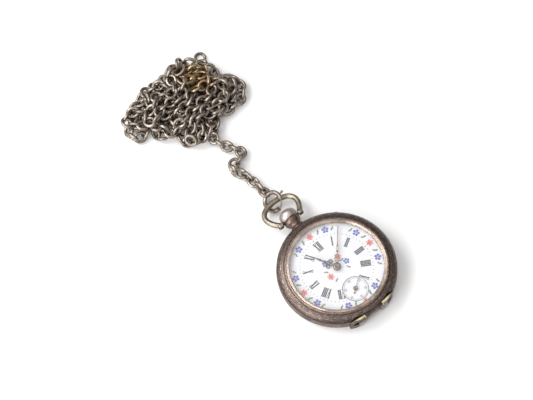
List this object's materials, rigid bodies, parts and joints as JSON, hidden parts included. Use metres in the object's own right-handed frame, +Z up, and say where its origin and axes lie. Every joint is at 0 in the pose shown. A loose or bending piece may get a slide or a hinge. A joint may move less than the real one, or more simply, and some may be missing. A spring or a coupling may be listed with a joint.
{
  "type": "pocket watch",
  "caption": "Open-face pocket watch lying on its back, with pierced hands, small seconds, hinged covers, bow, bolt-ring clasp and a long cable chain.",
  "frame": {"origin": "centre of the round rest face on the back cover", "axes": "+Y towards 12 o'clock and the bow, +Z up through the dial, +X towards 3 o'clock"},
  "size_m": [0.0501, 0.1287, 0.0123],
  "materials": {
    "dark_silver": "tarnished engraved silver, brown-black in the hollows",
    "silver": "worn silver, greyish with a warm tinge",
    "copper": "silver plate worn through to a copper tone",
    "glass": "clear domed glass",
    "enamel": "white fired enamel with painted numerals and flowers",
    "nickel": "aged nickel silver, brownish grey",
    "steel": "polished steel",
    "dark_steel": "blued steel, darkened",
    "gilt": "frosted gilt brass",
    "brass": "polished gilt brass, slightly toned",
    "ruby": "polished synthetic ruby"
  },
  "bodies": {
    "chain": {"bolt_ring": "nickel", "bolt_spring": "steel", "chain_strand": "nickel", "chain_heap": "nickel", "end_ring": "nickel"},
    "bolt": {"bolt": "nickel"},
    "bow": {"bow": "nickel"},
    "case": {"case_band": "dark_silver", "pendant": "copper", "bow_screws": "dark_steel", "hinge_pins": "dark_silver", "dial": "enamel", "dial_feet": "copper", "main_plate": "gilt", "barrel_bridge": "gilt", "train_bridge": "gilt", "escape_cock": "gilt", "balance_cock": "gilt", "plate_screws": "dark_steel", "jewels": "ruby", "wheel_screws": "dark_steel", "click_spring": "steel", "hairspring": "steel"},
    "bezel": {"bezel": "dark_silver", "crystal": "glass"},
    "back_cover": {"back_cover": "silver"},
    "cuvette": {"cuvette": "silver"},
    "winding": {"crown": "silver", "winding_stem": "steel", "winding_pinion": "steel"},
    "crown_wheel": {"crown_wheel": "steel"},
    "ratchet": {"ratchet_wheel": "steel", "barrel_arbor": "steel"},
    "click": {"click": "steel"},
    "set_button": {"set_button": "nickel"},
    "setting_lever": {"setting_lever": "steel"},
    "minute": {"cannon_pinion": "steel", "minute_hand": "brass", "hand_boss": "brass"},
    "minute_wheel": {"minute_wheel": "brass"},
    "hour": {"hour_wheel": "brass", "hour_hand": "brass"},
    "setting_wheel": {"setting_wheel": "brass"},
    "seconds": {"fourth_wheel": "brass", "seconds_hand": "brass"},
    "third": {"third_wheel": "brass"},
    "centre": {"centre_wheel": "brass"},
    "barrel": {"barrel": "brass", "barrel_cover": "brass", "mainspring": "steel"},
    "escape": {"escape_wheel": "steel"},
    "balance": {"balance_wheel": "brass", "balance_staff": "steel"},
    "regulator": {"regulator": "steel"}
  },
  "joints": [
    {"name": "bow_in_clasp", "type": "hinge", "parent": "chain", "child": "bow", "pos_m": [0, 0.03787, 0.00332], "axis": [-1, 0, 0], "range_deg": [0, 60]},
    {"name": "case_on_bow", "type": "hinge", "parent": "bow", "child": "case", "pos_m": [0, 0.0276, 0.0055], "axis": [-1, 0, 0], "range_deg": [0, 80]},
    {"name": "bolt_turn", "type": "hinge", "parent": "chain", "child": "bolt", "pos_m": [0, 0.03817, 0.00332], "axis": [-0.6428, 0, 0.766], "range_deg": [0, 55], "stiffness_Nm_per_rad": 0.0006, "springref_deg": -28.65, "deforming": ["bolt_spring"]},
    {"name": "bezel_hinge", "type": "hinge", "parent": "case", "child": "bezel", "pos_m": [0, -0.0216, 0.0076], "axis": [1, 0, 0], "range_deg": [0, 100]},
    {"name": "back_cover_hinge", "type": "hinge", "parent": "case", "child": "back_cover", "pos_m": [0, -0.0216, 0.003], "axis": [-1, 0, 0], "range_deg": [0, 110]},
    {"name": "cuvette_hinge", "type": "hinge", "parent": "case", "child": "cuvette", "pos_m": [0, -0.0216, 0.003], "axis": [-1, 0, 0], "range_deg": [0, 93.5]},
    {"name": "winding", "type": "hinge", "parent": "case", "child": "winding", "pos_m": [0, 0.0294, 0.0055], "axis": [0, 1, 0], "continuous": true},
    {"name": "crown_wheel_turn", "type": "hinge", "parent": "case", "child": "crown_wheel", "pos_m": [0, 0.0113, 0.003], "axis": [0, 0, 1], "continuous": true},
    {"name": "ratchet_turn", "type": "hinge", "parent": "case", "child": "ratchet", "pos_m": [-0.00605, 0.00605, 0.003], "axis": [0, 0, 1], "continuous": true, "deforming": ["mainspring"]},
    {"name": "click_turn", "type": "hinge", "parent": "case", "child": "click", "pos_m": [-0.00803, 0.0115, 0.003], "axis": [0, 0, -1], "range_deg": [0, 12], "stiffness_Nm_per_rad": 0.0001, "springref_deg": -17.19, "deforming": ["click_spring"]},
    {"name": "set_button_push", "type": "slide", "parent": "case", "child": "set_button", "axis": [-0.6293, -0.7771, 0], "range_m": [0, 0.0006], "stiffness_N_per_m": 400, "springref_m": -0.0003},
    {"name": "setting_lever_turn", "type": "hinge", "parent": "case", "child": "setting_lever", "pos_m": [0.00843, 0.01582, 0.0052], "axis": [0, 0, -1], "range_deg": [0, 10.3]},
    {"name": "minute_turn", "type": "hinge", "parent": "case", "child": "minute", "pos_m": [0, 0, 0.008], "axis": [0, 0, -1], "continuous": true},
    {"name": "minute_wheel_turn", "type": "hinge", "parent": "case", "child": "minute_wheel", "pos_m": [0.0018, 0.00312, 0.0074], "axis": [0, 0, -1], "continuous": true},
    {"name": "hour_turn", "type": "hinge", "parent": "case", "child": "hour", "pos_m": [0, 0, 0.008], "axis": [0, 0, -1], "continuous": true},
    {"name": "setting_wheel_turn", "type": "hinge", "parent": "case", "child": "setting_wheel", "pos_m": [0.00296, 0.00746, 0.0073], "axis": [0, 0, -1], "continuous": true},
    {"name": "seconds_turn", "type": "hinge", "parent": "case", "child": "seconds", "pos_m": [0, -0.0112, 0.005], "axis": [0, 0, -1], "continuous": true},
    {"name": "third_turn", "type": "hinge", "parent": "case", "child": "third", "pos_m": [0.00325, -0.00602, 0.005], "axis": [0, 0, -1], "continuous": true},
    {"name": "centre_turn", "type": "hinge", "parent": "case", "child": "centre", "pos_m": [0, 0, 0.005], "axis": [0, 0, -1], "continuous": true},
    {"name": "barrel_turn", "type": "hinge", "parent": "case", "child": "barrel", "pos_m": [-0.00605, 0.00605, 0.0047], "axis": [0, 0, -1], "continuous": true},
    {"name": "escape_turn", "type": "hinge", "parent": "case", "child": "escape", "pos_m": [-0.00454, -0.00908, 0.0046], "axis": [0, 0, -1], "continuous": true},
    {"name": "balance_swing", "type": "hinge", "parent": "case", "child": "balance", "pos_m": [-0.00733, -0.00674, 0.0035], "axis": [0, 0, 1], "range_deg": [-135, 135], "deforming": ["hairspring"]},
    {"name": "regulator_turn", "type": "hinge", "parent": "case", "child": "regulator", "pos_m": [-0.00733, -0.00674, 0.0021], "axis": [0, 0, 1], "range_deg": [-20, 20]}
  ],
  "couplings": [
    {"joint": "cuvette_hinge", "follows": "back_cover_hinge", "ratio": 0.85},
    {"joint": "crown_wheel_turn", "follows": "winding", "ratio": 0.53571},
    {"joint": "ratchet_turn", "follows": "winding", "ratio": -0.41667},
    {"joint": "setting_lever_turn", "follows": "set_button_push", "rad_per_m": 294},
    {"joint": "minute_wheel_turn", "follows": "minute_turn", "ratio": -0.33333},
    {"joint": "hour_turn", "follows": "minute_turn", "ratio": 0.083333},
    {"joint": "setting_wheel_turn", "follows": "minute_turn", "ratio": 0.5},
    {"joint": "third_turn", "follows": "seconds_turn", "ratio": -0.13333},
    {"joint": "centre_turn", "follows": "seconds_turn", "ratio": 0.016667},
    {"joint": "barrel_turn", "follows": "seconds_turn", "ratio": -0.0020833},
    {"joint": "escape_turn", "follows": "seconds_turn", "ratio": -10}
  ]
}
